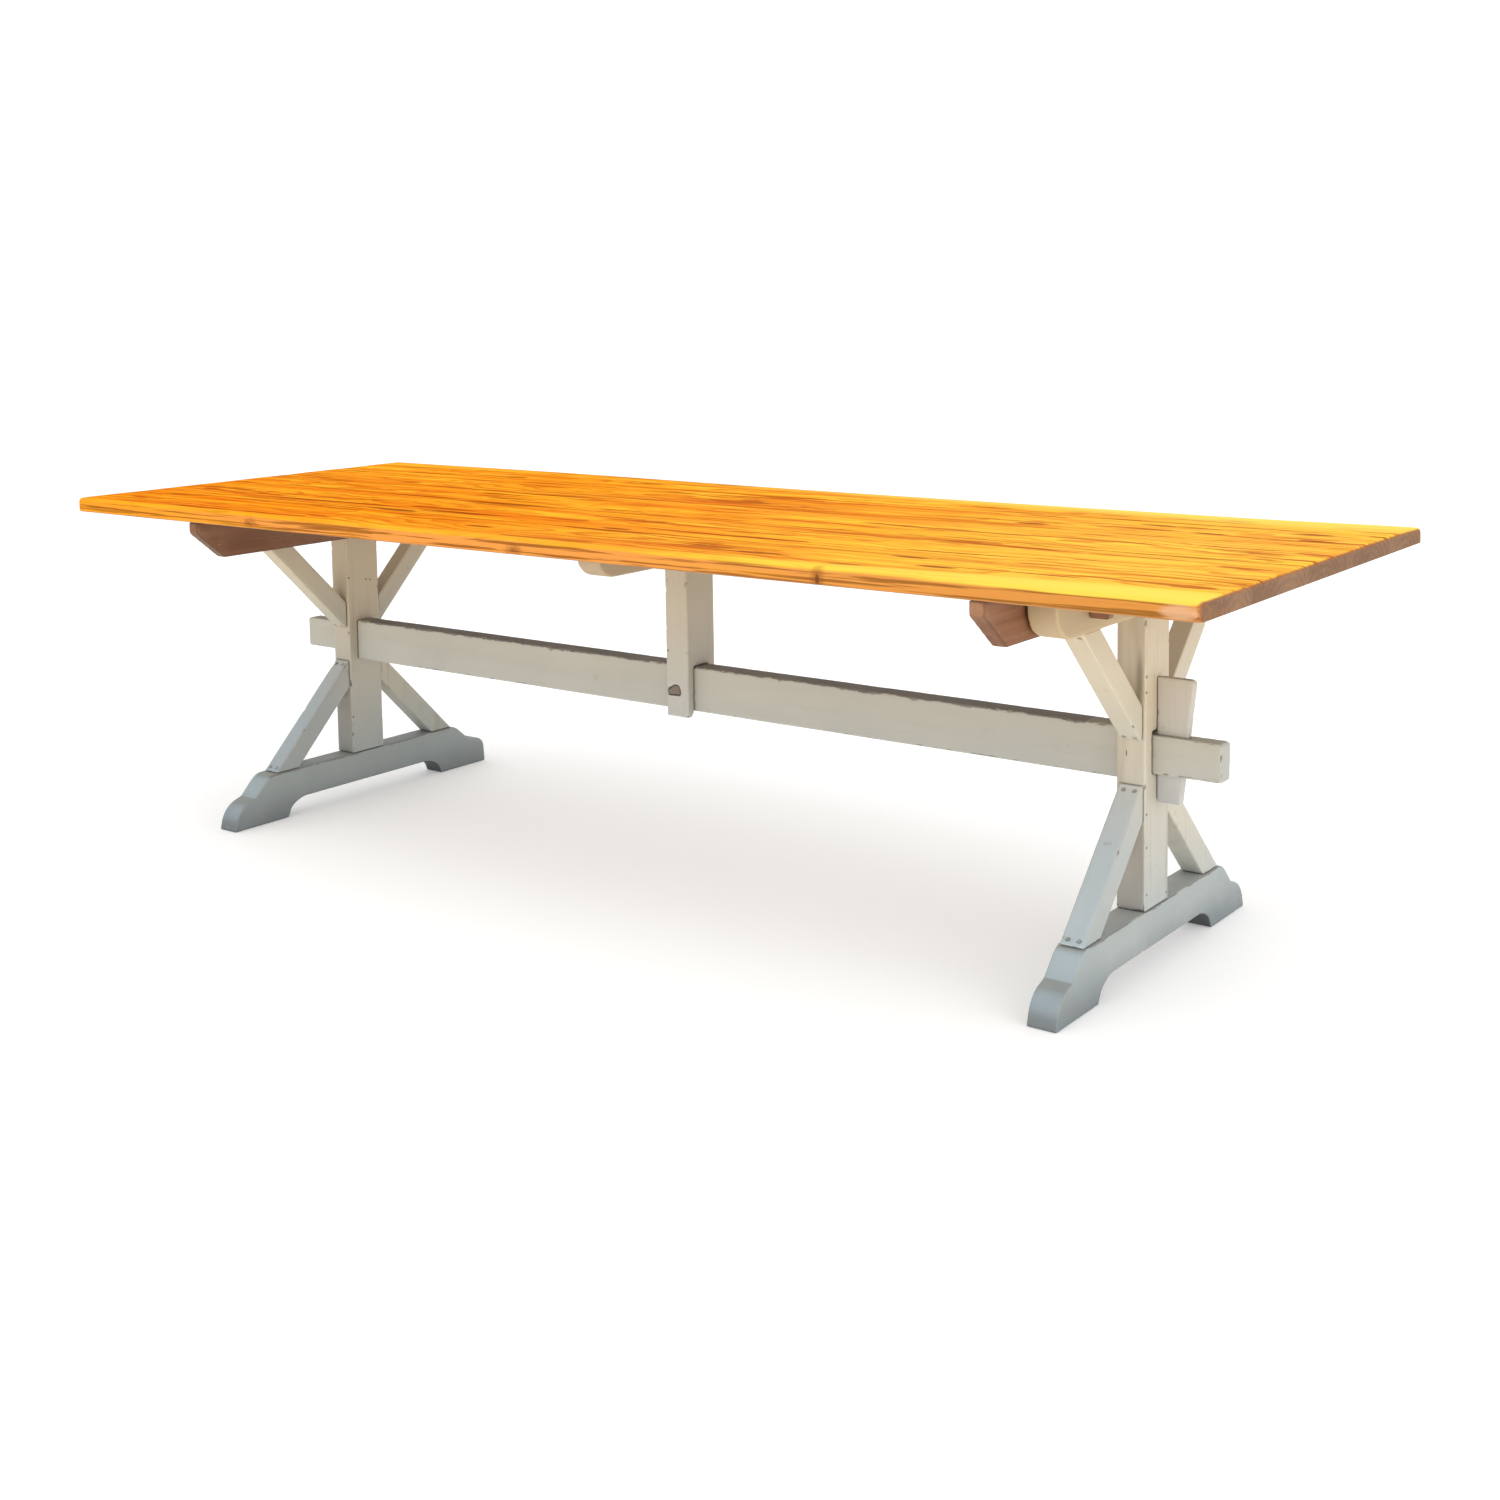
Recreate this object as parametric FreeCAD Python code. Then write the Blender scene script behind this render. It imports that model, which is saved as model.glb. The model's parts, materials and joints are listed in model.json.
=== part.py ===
# Knock-down sawbuck table: plank top on two braced trestles, a keyed
# stretcher and a forked middle post.
#
# Units are millimetres. The origin is on the floor under the middle of the
# top. X runs along the table, Y towards its back, Z up.

import math
import os

import FreeCAD
import Part

Vec = FreeCAD.Vector

# Top
top_length = 2794.0
top_width = 1016.0
top_height = 762.0
top_thickness = 32.0
top_corner_radius = 18.0
top_edge_radius = 9.0
plank_seams = [-318.0, -96.0, 126.0, 316.0]
underside = top_height - top_thickness

# Places of the uprights along the table
left_trestle_x = -1012.0
right_trestle_x = 1068.0
centre_post_x = 35.0

# Trestle stock
stock = 57.0
post_depth = 100.0
joint_thickness = 19.0
joint_width = 66.0
joint_length = 40.0
joint_slack = 0.5

# Toe outlines: knuckle, then the ledge behind it, each as (distance back from
# the toe's end, height, radius)
soft_toe = [(12.0, 50.0, 60.0), (62.0, 66.0, 5.0)]
full_toe = [(5.0, 62.0, 26.0), (55.0, 68.0, 20.0)]

# Feet: hand cut, so each end has its own toe and reach from the post's middle
foot_ends = {
    "left": {"front": (410.0, soft_toe), "rear": (400.0, full_toe)},
    "right": {"front": (384.0, soft_toe), "rear": (403.0, soft_toe)},
}
foot_height = 111.0
toe_to_shoulder = 106.0
shoulder_radius = 44.0
pad_length = 158.0
arch_height = 40.0
arch_spring = (8.0, 22.0, 35.0)
arch_brow = (38.0, 40.0, 70.0)

# Bolsters under the top
bolster_half = 380.0
bolster_height = 82.0
bolster_radius = 52.0
bolster_bottom = underside - bolster_height

# Braces: 45 degree struts, measured where their edges meet the post
brace_width = 48.0
upper_brace_thickness = 42.0
lower_brace_thickness = 46.0
brace_offset = 2.0
upper_brace_low = 416.0
lower_brace_high = 344.0
upper_brace_blunt = 5.0
brace_blunt = 1.5

# Stretcher and its tenons
stretcher_bottom = 342.0
stretcher_top = 437.0
stretcher_thickness = 50.0
tenon_bottom = 356.0
tenon_top = 426.0
tenon_thickness = 39.0
tenon_reach = 128.5
tenon_end_radius = 5.0
mortise_headroom = 7.0
mortise_side_play = 0.3

# Wedges that draw the stretcher shoulders against the posts
wedge_thickness = 18.0
wedge_offset = 4.0
right_wedge_low = 302.0
right_wedge_high = 529.5
right_wedge_low_width = 45.0
right_wedge_high_width = 71.0
left_wedge_low = 350.0
left_wedge_high = 505.0
left_wedge_low_width = 46.0
left_wedge_high_width = 64.0
wedge_top_radius = 8.0
wedge_toe_radius = 9.0
wedge_draw = 4.0
wedge_side_play = 0.4

# Centre post, forked over the stretcher
centre_thickness = 59.0
centre_depth = 94.0
centre_low = 330.0
centre_bolster_half = 323.0
centre_bolster_height = 70.0
centre_bolster_radius = 52.0
centre_bolster_bottom = underside - centre_bolster_height
fork_side_play = 0.5
fork_chamfer = 9.0

# Split peg through the fork: corners as (X from the post's middle, Z)
peg_corners = [(-25.0, 375.0), (-25.5, 388.5), (-7.5, 398.0), (4.0, 397.0), (8.0, 376.5)]
peg_play = 0.4
peg_recess = 1.5

# Battens nailed under the top on the inner side of each trestle
cleat_half = 506.0
cleat_thickness = 30.0
cleat_height = 86.0
cleat_nose = 25.0
cleat_bevel = 74.0
cleat_gap = 5.0

# Keeper blocks on the outer side of each trestle
keeper_low_width = 34.0
keeper_high_width = 46.0
keeper_height = 56.0
keeper_near = 247.0
keeper_far = 271.0
keeper_gap = 1.0

# Cut nails: square shanks that taper along their length
brace_nail_length = 62.0
keeper_nail_length = 76.0
cleat_nail_length = 102.0
nail_shank = 4.6
nail_tip = 2.2
nail_head_long = 8.0
nail_head_wide = 6.0
nail_head_depth = 2.0
nail_pair_gap = 21.0
nail_from_tip = 15.0


def block(x0, x1, y0, y1, z0, z1):
    # Box between two opposite corners.
    box = Part.makeBox(x1 - x0, y1 - y0, z1 - z0)
    box.translate(Vec(x0, y0, z0))
    return box


def rounded_face(corners, place):
    # Face from (u, v) or (u, v, radius) corners, each radius as a true arc.
    count = len(corners)
    starts = []
    ends = []
    middles = []
    for i in range(count):
        u, v = corners[i][0], corners[i][1]
        radius = corners[i][2] if len(corners[i]) > 2 else 0.0
        here = Vec(u, v, 0)
        back = Vec(corners[i - 1][0], corners[i - 1][1], 0) - here
        ahead = Vec(corners[(i + 1) % count][0], corners[(i + 1) % count][1], 0) - here
        back.normalize()
        ahead.normalize()
        half_angle = back.getAngle(ahead) / 2.0
        reach = radius / math.tan(half_angle)
        inward = back + ahead
        if radius > 0:
            inward.normalize()
        starts.append(here + back * reach)
        ends.append(here + ahead * reach)
        middles.append(here + inward * (radius / math.sin(half_angle) - radius))
    edges = []
    for i in range(count):
        start, end = starts[i], ends[i]
        if start.distanceToPoint(end) > 1e-4:
            edges.append(Part.Arc(place(start), place(middles[i]), place(end)).toShape())
        following = starts[(i + 1) % count]
        if end.distanceToPoint(following) > 1e-4:
            edges.append(Part.LineSegment(place(end), place(following)).toShape())
    return Part.Face(Part.Wire(edges))


def across(corners, x0, x1):
    # Outline in Y and Z, given thickness along X.
    face = rounded_face(corners, lambda p: Vec(x0, p.x, p.y))
    return face.extrude(Vec(x1 - x0, 0, 0))


def along(corners, y0, y1):
    # Outline in X and Z, given thickness along Y.
    face = rounded_face(corners, lambda p: Vec(p.x, y0, p.y))
    return face.extrude(Vec(0, y1 - y0, 0))


def front_to_back(shape):
    return shape.mirror(Vec(0, 0, 0), Vec(0, 1, 0))


def cut_nail(head, direction, length):
    # Nail whose head top is at one point and whose tip lies along a direction.
    def square(size_x, size_y, z):
        x, y = size_x / 2.0, size_y / 2.0
        corners = [Vec(-x, -y, z), Vec(x, -y, z), Vec(x, y, z), Vec(-x, y, z), Vec(-x, -y, z)]
        return Part.makePolygon(corners)

    top = nail_head_depth
    shank_wires = [square(nail_shank, nail_shank, top), square(nail_tip, nail_tip, length)]
    shank = Part.makeLoft(shank_wires, True, True)
    head_block = Part.makeBox(nail_head_long, nail_head_wide, top)
    head_block.translate(Vec(-nail_head_long / 2.0, -nail_head_wide / 2.0, 0))
    nail = head_block.fuse(shank).removeSplitter()
    turn = FreeCAD.Rotation(Vec(0, 0, 1), direction)
    nail.Placement = FreeCAD.Placement(head, turn)
    return nail


def stub_tenon(x, z0, z1, slack):
    # Blind tenon on a post end, or with slack the mortise that takes it.
    half_x = joint_thickness / 2.0 + slack
    half_y = joint_width / 2.0 + slack
    return block(x - half_x, x + half_x, -half_y, half_y, z0, z1)


def foot_end(x, reach, toe):
    # Half a foot, from the middle of the post out to a toe on the +Y side.
    def back_from(y, corner):
        return (y - corner[0], corner[1], corner[2])

    pad_start = reach - pad_length
    corners = [
        (0.0, arch_height),
        back_from(pad_start, arch_brow),
        back_from(pad_start, arch_spring),
        (pad_start, 0.0),
        (reach, 0.0),
        back_from(reach, toe[0]),
        back_from(reach, toe[1]),
        (reach - toe_to_shoulder, foot_height, shoulder_radius),
        (0.0, foot_height),
    ]
    return across(corners, x - stock / 2.0, x + stock / 2.0)


def make_foot(x, ends):
    front = front_to_back(foot_end(x, *ends["front"]))
    foot = front.fuse(foot_end(x, *ends["rear"])).removeSplitter()
    depth = joint_length + joint_slack
    return foot.cut(stub_tenon(x, foot_height - depth, foot_height + 1.0, joint_slack))


def make_bolster(x, thickness, half, bottom, radius):
    corners = [
        (-half, underside),
        (half, underside),
        (half, bottom, radius),
        (-half, bottom, radius),
    ]
    bolster = across(corners, x - thickness / 2.0, x + thickness / 2.0)
    depth = joint_length + joint_slack
    return bolster.cut(stub_tenon(x, bottom - 1.0, bottom + depth, joint_slack))


def make_post(x):
    post = block(
        x - stock / 2.0, x + stock / 2.0,
        -post_depth / 2.0, post_depth / 2.0,
        foot_height, bolster_bottom,
    )
    tenon_low = stub_tenon(x, foot_height - joint_length, foot_height, 0.0)
    tenon_high = stub_tenon(x, bolster_bottom, bolster_bottom + joint_length, 0.0)
    half = tenon_thickness / 2.0 + mortise_side_play
    mortise = block(x - stock, x + stock, -half, half, tenon_bottom, tenon_top + mortise_headroom)
    return post.fuse([tenon_low, tenon_high]).removeSplitter().cut(mortise)


def make_brace(x, thickness, post_z, end_z, post_blunt):
    # Strut with a plumb cut at the post and a level cut at end_z. Both heights
    # are those of the outer edge; its sharp tips are blunted square to it.
    up = 1.0 if end_z > post_z else -1.0
    near = post_depth / 2.0
    far = near + abs(end_z - post_z)
    rise = brace_width * math.sqrt(2.0)
    corners = [
        (near, post_z + up * post_blunt * 2.0),
        (near + post_blunt, post_z + up * post_blunt),
        (far - brace_blunt, end_z - up * brace_blunt),
        (far - 2.0 * brace_blunt, end_z),
        (far - rise, end_z),
        (near, post_z + up * rise),
    ]
    middle = x + brace_offset
    return across(corners, middle - thickness / 2.0, middle + thickness / 2.0)


def brace_nails(x, post_z, end_z):
    # Two pairs of nails driven square to the outer edge of one brace.
    up = 1.0 if end_z > post_z else -1.0
    near = post_depth / 2.0
    far = near + abs(end_z - post_z)
    step = nail_from_tip / math.sqrt(2.0)
    places = [
        (near + step, post_z + up * step),
        (far - step, end_z - up * step),
    ]
    nails = []
    for y, z in places:
        for side in (-0.5, 0.5):
            head = Vec(x + brace_offset + side * nail_pair_gap, y, z)
            nails.append(cut_nail(head, Vec(0, -1, up), brace_nail_length))
    return nails


def make_wedge(inner_x, outward, low, high, low_width, high_width):
    # Straight against the post, tapered on the side that bears on the tenon.
    corners = [
        (inner_x, low, wedge_toe_radius),
        (inner_x + outward * low_width, low, 2.0),
        (inner_x + outward * high_width, high, wedge_top_radius),
        (inner_x, high, 2.0),
    ]
    half = wedge_thickness / 2.0
    return along(corners, wedge_offset - half, wedge_offset + half)


def make_wedge_mortise(inner_x, outward, low, high, low_width, high_width):
    # Tapered mortise, cut back inside the post so that the wedge can draw.
    def width_at(z):
        return low_width + (high_width - low_width) * (z - low) / (high - low)

    z0 = tenon_bottom - 2.0
    z1 = tenon_top + 2.0
    corners = [
        (inner_x - outward * wedge_draw, z0),
        (inner_x + outward * width_at(z0), z0),
        (inner_x + outward * width_at(z1), z1),
        (inner_x - outward * wedge_draw, z1),
    ]
    half = wedge_thickness / 2.0 + wedge_side_play
    return along(corners, wedge_offset - half, wedge_offset + half)


def make_peg(play):
    # Peg blank, or with play the hole that takes it.
    middle_x = sum(corner[0] for corner in peg_corners) / len(peg_corners)
    middle_z = sum(corner[1] for corner in peg_corners) / len(peg_corners)
    corners = []
    for u, z in peg_corners:
        out_x = u - middle_x
        out_z = z - middle_z
        grow = 1.0 + play / math.hypot(out_x, out_z)
        corners.append((centre_post_x + middle_x + out_x * grow, middle_z + out_z * grow))
    reach = centre_depth / 2.0 - peg_recess
    if play > 0:
        reach = centre_depth
    return along(corners, -reach, reach)


def make_stretcher(left_mortise, right_mortise):
    inner_left = left_trestle_x + stock / 2.0
    inner_right = right_trestle_x - stock / 2.0
    half = stretcher_thickness / 2.0
    beam = block(inner_left, inner_right, -half, half, stretcher_bottom, stretcher_top)
    outer_left = left_trestle_x - stock / 2.0 - tenon_reach
    outer_right = right_trestle_x + stock / 2.0 + tenon_reach
    corners = [
        (outer_left, tenon_bottom, tenon_end_radius),
        (outer_right, tenon_bottom, tenon_end_radius),
        (outer_right, tenon_top, tenon_end_radius),
        (outer_left, tenon_top, tenon_end_radius),
    ]
    tenons = along(corners, -tenon_thickness / 2.0, tenon_thickness / 2.0)
    stretcher = beam.fuse(tenons).removeSplitter()
    return stretcher.cut([left_mortise, right_mortise, make_peg(peg_play)])


def make_centre_post():
    x = centre_post_x
    half_x = centre_thickness / 2.0
    half_y = centre_depth / 2.0
    body = block(x - half_x, x + half_x, -half_y, half_y, centre_low, centre_bolster_bottom)
    tenon = stub_tenon(x, centre_bolster_bottom, centre_bolster_bottom + joint_length, 0.0)
    slot_half = stretcher_thickness / 2.0 + fork_side_play
    slot = across(
        [
            (-slot_half - fork_chamfer, centre_low - 1.0),
            (slot_half + fork_chamfer, centre_low - 1.0),
            (slot_half, centre_low + fork_chamfer),
            (slot_half, stretcher_top),
            (-slot_half, stretcher_top),
            (-slot_half, centre_low + fork_chamfer),
        ],
        x - stock, x + stock,
    )
    return body.fuse(tenon).removeSplitter().cut([slot, make_peg(peg_play)])


def make_planks():
    # One board outline with softened edges, sawn into planks at the seams.
    half_x = top_length / 2.0
    half_y = top_width / 2.0
    board = block(-half_x, half_x, -half_y, half_y, underside, top_height)
    upright = [e for e in board.Edges if abs(e.Vertexes[0].Z - e.Vertexes[1].Z) > 1.0]
    board = board.makeFillet(top_corner_radius, upright)
    rims = []
    for edge in board.Edges:
        if abs(edge.BoundBox.ZMax - edge.BoundBox.ZMin) < 1e-3:
            rims.append(edge)
    board = board.makeFillet(top_edge_radius, rims)
    bounds = [-half_y] + plank_seams + [half_y]
    planks = []
    for y0, y1 in zip(bounds[:-1], bounds[1:]):
        saw = block(-half_x, half_x, y0, y1, underside, top_height)
        planks.append(board.common(saw))
    return planks


def make_cleat(x0, x1):
    nose_z = underside - cleat_nose
    low_z = underside - cleat_height
    bevel_y = cleat_half - cleat_bevel
    corners = [
        (-cleat_half, underside),
        (cleat_half, underside),
        (cleat_half, nose_z, 6.0),
        (bevel_y, low_z, 6.0),
        (-bevel_y, low_z, 6.0),
        (-cleat_half, nose_z, 6.0),
    ]
    return across(corners, x0, x1)


def make_keeper(inner_x, outward):
    # Bracket on the rear half of the table, bevelled on its outer side.
    low_z = underside - keeper_height
    corners = [
        (inner_x, underside),
        (inner_x + outward * keeper_high_width, underside),
        (inner_x + outward * keeper_low_width, low_z, 3.0),
        (inner_x, low_z),
    ]
    return along(corners, keeper_near, keeper_far)


def cleat_nails():
    # Two nails to every plank, driven up through each batten.
    nails = []
    bounds = [-top_width / 2.0] + plank_seams + [top_width / 2.0]
    for x in cleat_centres():
        for y0, y1 in zip(bounds[:-1], bounds[1:]):
            for share in (0.3, 0.7):
                y = y0 + share * (y1 - y0)
                if abs(y) < cleat_half - cleat_bevel:
                    head = Vec(x, y, underside - cleat_height)
                    nails.append(cut_nail(head, Vec(0, 0, 1), cleat_nail_length))
    return nails


def keeper_nails():
    nails = []
    middle = (keeper_near + keeper_far) / 2.0
    for inner_x, outward in keeper_faces():
        for y in (-middle, middle):
            head = Vec(inner_x + outward * keeper_low_width / 2.0, y, underside - keeper_height)
            nails.append(cut_nail(head, Vec(0, 0, 1), keeper_nail_length))
    return nails


def cleat_centres():
    inset = stock / 2.0 + cleat_gap + cleat_thickness / 2.0
    return [left_trestle_x + inset, right_trestle_x - inset]


def keeper_faces():
    # Inner face and outward direction of the keepers at each trestle.
    inset = stock / 2.0 + keeper_gap
    return [(left_trestle_x - inset, -1.0), (right_trestle_x + inset, 1.0)]


def add_trestle(nodes, side, x):
    foot = make_foot(x, foot_ends[side])
    post = make_post(x)
    bolster = make_bolster(x, stock, bolster_half, bolster_bottom, bolster_radius)
    upper = make_brace(
        x, upper_brace_thickness, upper_brace_low, bolster_bottom, upper_brace_blunt,
    )
    lower = make_brace(x, lower_brace_thickness, lower_brace_high, foot_height, brace_blunt)
    rear_nails = brace_nails(x, upper_brace_low, bolster_bottom)
    rear_nails += brace_nails(x, lower_brace_high, foot_height)
    nails = rear_nails + [front_to_back(nail) for nail in rear_nails]
    nodes[side + "_foot"] = foot.cut(nails)
    nodes[side + "_post"] = post.cut(nails)
    nodes[side + "_bolster"] = bolster.cut(nails)
    nodes[side + "_rear_upper_brace"] = upper.cut(nails)
    nodes[side + "_rear_lower_brace"] = lower.cut(nails)
    nodes[side + "_front_upper_brace"] = front_to_back(upper).cut(nails)
    nodes[side + "_front_lower_brace"] = front_to_back(lower).cut(nails)
    nodes[side + "_brace_nails"] = Part.makeCompound(nails)


def add_top(nodes):
    long_nails = cleat_nails()
    short_nails = keeper_nails()
    for number, plank in enumerate(make_planks(), start=1):
        nodes["top_plank_%d" % number] = plank.cut(long_nails + short_nails)
    for side, x in zip(("left", "right"), cleat_centres()):
        cleat = make_cleat(x - cleat_thickness / 2.0, x + cleat_thickness / 2.0)
        nodes[side + "_cleat"] = cleat.cut(long_nails)
    for side, (inner_x, outward) in zip(("left", "right"), keeper_faces()):
        keeper = make_keeper(inner_x, outward)
        nodes[side + "_front_keeper"] = keeper.cut(short_nails)
        nodes[side + "_rear_keeper"] = front_to_back(keeper).cut(short_nails)
    nodes["cleat_nails"] = Part.makeCompound(long_nails)
    nodes["keeper_nails"] = Part.makeCompound(short_nails)


def build():
    nodes = {}
    add_top(nodes)
    add_trestle(nodes, "left", left_trestle_x)
    add_trestle(nodes, "right", right_trestle_x)

    left_face = left_trestle_x - stock / 2.0
    right_face = right_trestle_x + stock / 2.0
    left_sizes = (left_wedge_low, left_wedge_high, left_wedge_low_width, left_wedge_high_width)
    right_sizes = (right_wedge_low, right_wedge_high, right_wedge_low_width, right_wedge_high_width)
    nodes["left_wedge"] = make_wedge(left_face, -1.0, *left_sizes)
    nodes["right_wedge"] = make_wedge(right_face, 1.0, *right_sizes)
    left_mortise = make_wedge_mortise(left_face, -1.0, *left_sizes)
    right_mortise = make_wedge_mortise(right_face, 1.0, *right_sizes)
    nodes["stretcher"] = make_stretcher(left_mortise, right_mortise)

    nodes["centre_post"] = make_centre_post()
    nodes["centre_bolster"] = make_bolster(
        centre_post_x, centre_thickness, centre_bolster_half,
        centre_bolster_bottom, centre_bolster_radius,
    )
    nodes["centre_peg"] = make_peg(0.0)
    return nodes


os.makedirs("parts", exist_ok=True)
for node_name, node_shape in build().items():
    node_shape.exportStep("parts/" + node_name + ".step")
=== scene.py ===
import json
import math
import random

import bmesh
import bpy
import numpy as np
from mathutils import Euler, Matrix, Vector, noise
from mathutils.bvhtree import BVHTree


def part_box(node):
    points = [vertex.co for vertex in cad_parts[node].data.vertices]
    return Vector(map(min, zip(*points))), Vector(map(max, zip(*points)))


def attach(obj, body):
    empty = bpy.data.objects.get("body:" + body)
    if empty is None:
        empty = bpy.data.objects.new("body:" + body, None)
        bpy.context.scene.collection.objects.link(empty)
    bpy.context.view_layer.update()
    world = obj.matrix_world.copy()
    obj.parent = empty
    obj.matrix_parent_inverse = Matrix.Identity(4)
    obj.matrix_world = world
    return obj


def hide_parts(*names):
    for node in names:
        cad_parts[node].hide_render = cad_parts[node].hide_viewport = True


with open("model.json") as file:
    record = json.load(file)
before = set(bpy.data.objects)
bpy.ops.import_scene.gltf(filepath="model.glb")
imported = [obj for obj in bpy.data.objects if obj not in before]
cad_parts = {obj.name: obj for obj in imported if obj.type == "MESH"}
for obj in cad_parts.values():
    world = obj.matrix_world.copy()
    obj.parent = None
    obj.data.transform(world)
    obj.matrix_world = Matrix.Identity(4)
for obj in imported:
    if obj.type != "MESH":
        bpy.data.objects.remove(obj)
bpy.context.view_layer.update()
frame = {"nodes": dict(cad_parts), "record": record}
nodes = frame["nodes"]
scene = bpy.context.scene
random.seed(7)
print("frame loaded", len(nodes), "nodes")


class Wire:
    # A node socket that takes part in ordinary Python sums.
    def __init__(self, tree, socket):
        self.tree = tree
        self.socket = socket

    def maths(self, operation, *values):
        node = self.tree.nodes.new("ShaderNodeMath")
        node.operation = operation
        for place, value in enumerate(values):
            plug(self.tree, node.inputs[place], value)
        return Wire(self.tree, node.outputs[0])

    def __add__(self, other):
        return self.maths("ADD", self, other)

    def __radd__(self, other):
        return self.maths("ADD", other, self)

    def __sub__(self, other):
        return self.maths("SUBTRACT", self, other)

    def __rsub__(self, other):
        return self.maths("SUBTRACT", other, self)

    def __mul__(self, other):
        return self.maths("MULTIPLY", self, other)

    def __rmul__(self, other):
        return self.maths("MULTIPLY", other, self)

    def __truediv__(self, other):
        return self.maths("DIVIDE", self, other)

    def atLeast(self, other):
        return self.maths("MAXIMUM", self, other)

    def atMost(self, other):
        return self.maths("MINIMUM", self, other)

    def fraction(self):
        return self.maths("FRACT", self)

    def root(self):
        return self.maths("SQRT", self)

    def between(self, low, high):
        # Nought at low and below, one at high and above, eased between them.
        node = self.tree.nodes.new("ShaderNodeMapRange")
        node.interpolation_type = "SMOOTHSTEP"
        for name, value in (("Value", self), ("From Min", low), ("From Max", high)):
            plug(self.tree, node.inputs[name], value)
        return Wire(self.tree, node.outputs[0])


def plug(tree, socket, value):
    if isinstance(value, Wire):
        tree.links.new(value.socket, socket)
    elif isinstance(value, (tuple, list)) and socket.type == "RGBA":
        socket.default_value = tuple(value) + (1.0,) * (4 - len(value))
    else:
        socket.default_value = value


class Finish:
    # A material under construction; node() makes every kind of node.
    def __init__(self, name):
        self.material = bpy.data.materials.new(name)
        self.material.use_nodes = True
        self.tree = self.material.node_tree
        self.tree.nodes.clear()

    def node(self, kind, settings, inputs, output=0):
        node = self.tree.nodes.new("ShaderNode" + kind)
        for name, value in settings.items():
            if name == "stops":
                fillRamp(node.color_ramp, value)
            else:
                setattr(node, name, value)
        for name, value in inputs.items():
            plug(self.tree, node.inputs[name], value)
        return Wire(self.tree, node.outputs[output])

    def noise(self, place, scale, detail=3.0, rough=0.55, distortion=0.0):
        inputs = {"Vector": place, "Scale": scale, "Detail": detail}
        inputs.update({"Roughness": rough, "Distortion": distortion})
        return self.node("TexNoise", {}, inputs)

    def stretch(self, place, scale, offset=(0.0, 0.0, 0.0)):
        return self.node("Mapping", {}, {"Vector": place, "Scale": scale, "Location": offset})

    def streaks(self, grain, along, across, detail, rough=0.55, distortion=0.0, offset=(0.0, 0.0, 0.0)):
        # Noise drawn out along the grain.
        place = self.stretch(grain, (along, across, across), offset)
        return self.noise(place, 1.0, detail, rough, distortion)

    def ramp(self, value, stops):
        return self.node("ValToRGB", {"stops": stops}, {"Fac": value})

    def mix(self, share, first, second, blend="MIX"):
        settings = {"data_type": "RGBA", "blend_type": blend}
        return self.node("Mix", settings, {0: share, 6: first, 7: second}, output=2)

    def layers(self, tone, look, rows, blend="MIX"):
        # Lays the look's colours over a tone in turn, each with its share.
        for share, name in rows:
            tone = self.mix(share, tone, look[name], blend)
        return tone

    def attribute(self, name, output=2):
        # Output 2 is a number and output 1 a vector.
        return self.node("Attribute", {"attribute_name": name}, {}, output=output)

    def objectPlace(self):
        return self.node("TexCoord", {}, {}, output=3)

    def facing(self):
        return self.split(self.node("NewGeometry", {}, {}, output=1))

    def nearest(self, place, points, scale=(1.0, 1.0, 1.0)):
        # Distance to the closest of a few points, in a stretched space.
        stretched = self.stretch(place, scale)
        closest = None
        for point in points:
            spot = tuple(value * factor for value, factor in zip(point, scale))
            away = self.node("VectorMath", {"operation": "DISTANCE"}, {0: stretched, 1: spot}, output=1)
            closest = away if closest is None else closest.atMost(away)
        return closest

    def split(self, vector):
        node = self.tree.nodes.new("ShaderNodeSeparateXYZ")
        plug(self.tree, node.inputs[0], vector)
        return [Wire(self.tree, socket) for socket in node.outputs]

    def close(self, colour, rough, height, strength, distance, settings):
        bump = self.node("Bump", {}, {"Height": height, "Strength": strength, "Distance": distance})
        inputs = {"Base Color": colour, "Roughness": rough, "Normal": bump}
        inputs.update(settings)
        surface = self.node("BsdfPrincipled", {}, inputs)
        output = self.tree.nodes.new("ShaderNodeOutputMaterial")
        self.tree.links.new(surface.socket, output.inputs["Surface"])
        return self.material


def fillRamp(ramp, stops):
    while len(ramp.elements) < len(stops):
        ramp.elements.new(1.0)
    for element, (place, colour) in zip(ramp.elements, stops):
        element.position = place
        element.color = tuple(colour) + (1.0,)


stageSettings = {
    "floorSize": 40.0,
    "floorColour": (0.95, 0.962, 0.970),
    "floorShade": 0.985,       # how dark its faint mottling goes
    "floorRough": 0.9,
    "floorGlow": 0.18,
    "worldColour": (1.0, 0.998, 0.992),
    "worldStrength": 1.08,
}

lamps = [
    # name, place, aim, size, watts, colour
    ("skySoft", (0.3, -0.8, 4.2), (0.0, 0.0, 0.7), (5.0, 3.0), 22.0, (1.0, 0.98, 0.95)),
    ("frontSoft", (-0.6, -5.0, 1.6), (0.2, 0.0, 0.45), (4.0, 2.4), 20.0, (1.0, 0.98, 0.95)),
    ("rightSoft", (4.8, -0.6, 1.5), (0.3, 0.0, 0.45), (2.6, 2.2), 26.0, (1.0, 0.98, 0.96)),
]

cameraSettings = {
    "place": (2.50448, -3.08224, 1.22969),
    "heading": 0.652825,
    "tilt": -0.096358,
    "roll": -0.016372,
    "focal": 1891.55,          # in pixels of the frame
    "centre": (729.77, 469.47),
    "frameSize": 1500.0,
    "sensor": 36.0,            # in millimetres
}


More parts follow.
